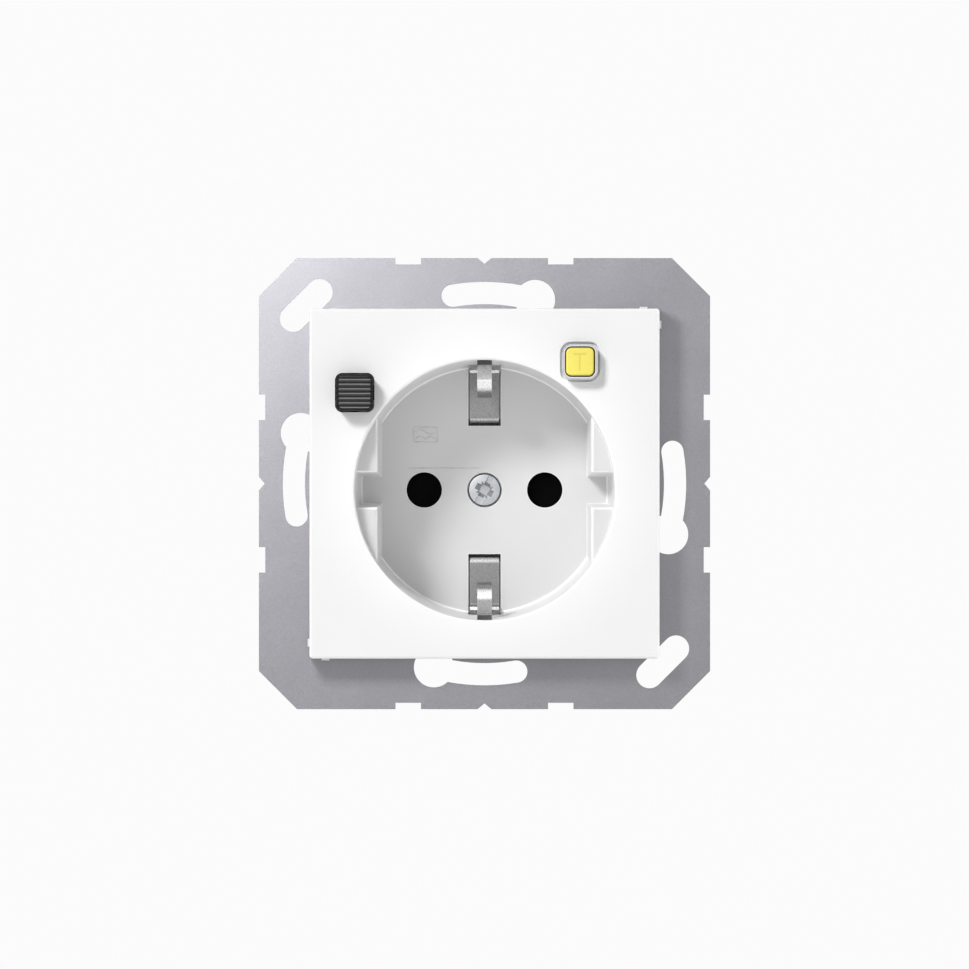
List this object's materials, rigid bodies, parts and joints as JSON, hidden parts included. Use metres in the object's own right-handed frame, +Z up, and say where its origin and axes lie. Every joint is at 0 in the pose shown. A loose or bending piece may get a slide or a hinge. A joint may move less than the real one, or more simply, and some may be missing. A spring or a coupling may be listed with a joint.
{
  "type": "residual current device socket",
  "caption": "Flush wall socket insert with a side-earthed round plug recess, a ribbed reset button, a test button, a plated support frame and a residual current breaker in its base.",
  "frame": {"origin": "middle of the support frame's back plane, which lies on the wall", "axes": "+Y points into the wall, so the plug recess and the buttons face -Y; +Z is up; +X points right as the socket is seen from the front"},
  "size_m": [0.071, 0.0503, 0.071],
  "materials": {
    "zinc_steel": "zinc plated, satin",
    "white_plastic": "glossy moulding",
    "bright_zinc": "bright zinc",
    "brass": "plain",
    "grey_plastic": "moulded, fine grain",
    "cage_metal": "nickel plated",
    "shutter_plastic": "moulded",
    "spring_steel": "drawn wire",
    "clip_metal": "nickel plated spring strip",
    "core_ferrite": "coated ring",
    "winding_copper": "lacquered copper",
    "line_insulation": "insulated wire, brown",
    "neutral_insulation": "insulated wire, blue",
    "contact_silver": "silvered",
    "braid_copper": "braided copper",
    "relay_plastic": "moulded case",
    "black_plastic": "moulded, satin",
    "yellow_plastic": "moulded",
    "board_laminate": "solder mask",
    "resistor_ceramic": "lacquered",
    "arrester_lacquer": "dipped"
  },
  "bodies": {
    "housing": {"base_cover": "grey_plastic", "centre_plate": "white_plastic", "centre_screw": "bright_zinc", "circuit_board": "board_laminate", "core_winding": "winding_copper", "cover_screws": "bright_zinc", "earth_bridge": "brass", "earth_clip_bottom": "clip_metal", "earth_clip_top": "clip_metal", "earth_rivets": "brass", "earth_terminal": "cage_metal", "frame_screws": "bright_zinc", "latch_pin": "bright_zinc", "latch_spring": "spring_steel", "lever_pin": "bright_zinc", "line_conductor": "line_insulation", "line_fixed_contact": "brass", "line_in_terminal": "cage_metal", "line_lead": "braid_copper", "line_out_terminal": "cage_metal", "line_tulip": "brass", "neutral_conductor": "neutral_insulation", "neutral_fixed_contact": "brass", "neutral_in_terminal": "cage_metal", "neutral_lead": "braid_copper", "neutral_out_terminal": "cage_metal", "neutral_tulip": "brass", "reset_spring": "spring_steel", "screw_insert": "brass", "shutter_spring": "spring_steel", "socket_base": "grey_plastic", "sum_core": "core_ferrite", "support_frame": "zinc_steel", "surge_arrester": "arrester_lacquer", "terminal_screws": "bright_zinc", "test_contact": "brass", "test_leaf": "contact_silver", "test_resistor": "resistor_ceramic", "trip_relay": "relay_plastic"},
    "reset": {"reset_button": "black_plastic"},
    "contact_bridge": {"contact_lever": "shutter_plastic", "line_moving_contact": "contact_silver", "neutral_moving_contact": "contact_silver"},
    "latch": {"latch_lever": "clip_metal"},
    "plunger": {"relay_plunger": "bright_zinc"},
    "test": {"test_button": "yellow_plastic"},
    "shutter_disc": {"shutter": "shutter_plastic"}
  },
  "joints": [
    {"name": "reset_slide", "type": "slide", "parent": "housing", "child": "reset", "axis": [0, 1, 0], "range_m": [0, 0.002], "stiffness_N_per_m": 400, "springref_m": -0.003, "deforming": ["reset_spring"]},
    {"name": "contact_lever_hinge", "type": "hinge", "parent": "housing", "child": "contact_bridge", "pos_m": [-0.0132, 0.0194, 0.01505], "axis": [0, 0, -1], "range_deg": [0, 16.01], "deforming": ["line_lead", "neutral_lead"]},
    {"name": "latch_hinge", "type": "hinge", "parent": "housing", "child": "latch", "pos_m": [-0.0016, 0.0218, 0.0165], "axis": [0, 0, 1], "range_deg": [0, 12], "deforming": ["latch_spring"]},
    {"name": "plunger_slide", "type": "slide", "parent": "housing", "child": "plunger", "axis": [-1, 0, 0], "range_m": [0, 0.00071], "stiffness_N_per_m": 150, "springref_m": -0.002},
    {"name": "test_slide", "type": "slide", "parent": "housing", "child": "test", "axis": [0, 1, 0], "range_m": [0, 0.0012], "stiffness_N_per_m": 600, "springref_m": -0.001, "deforming": ["test_leaf"]},
    {"name": "shutter_turn", "type": "hinge", "parent": "housing", "child": "shutter_disc", "pos_m": [0, 0.0108, -0.001], "axis": [0, 1, 0], "range_deg": [0, 40], "stiffness_Nm_per_rad": 0.004, "springref_deg": -11.46, "deforming": ["shutter_spring"]}
  ],
  "couplings": [
    {"joint": "contact_lever_hinge", "follows": "reset_slide", "rad_per_m": 139.6},
    {"joint": "latch_hinge", "follows": "plunger_slide", "rad_per_m": 294}
  ]
}
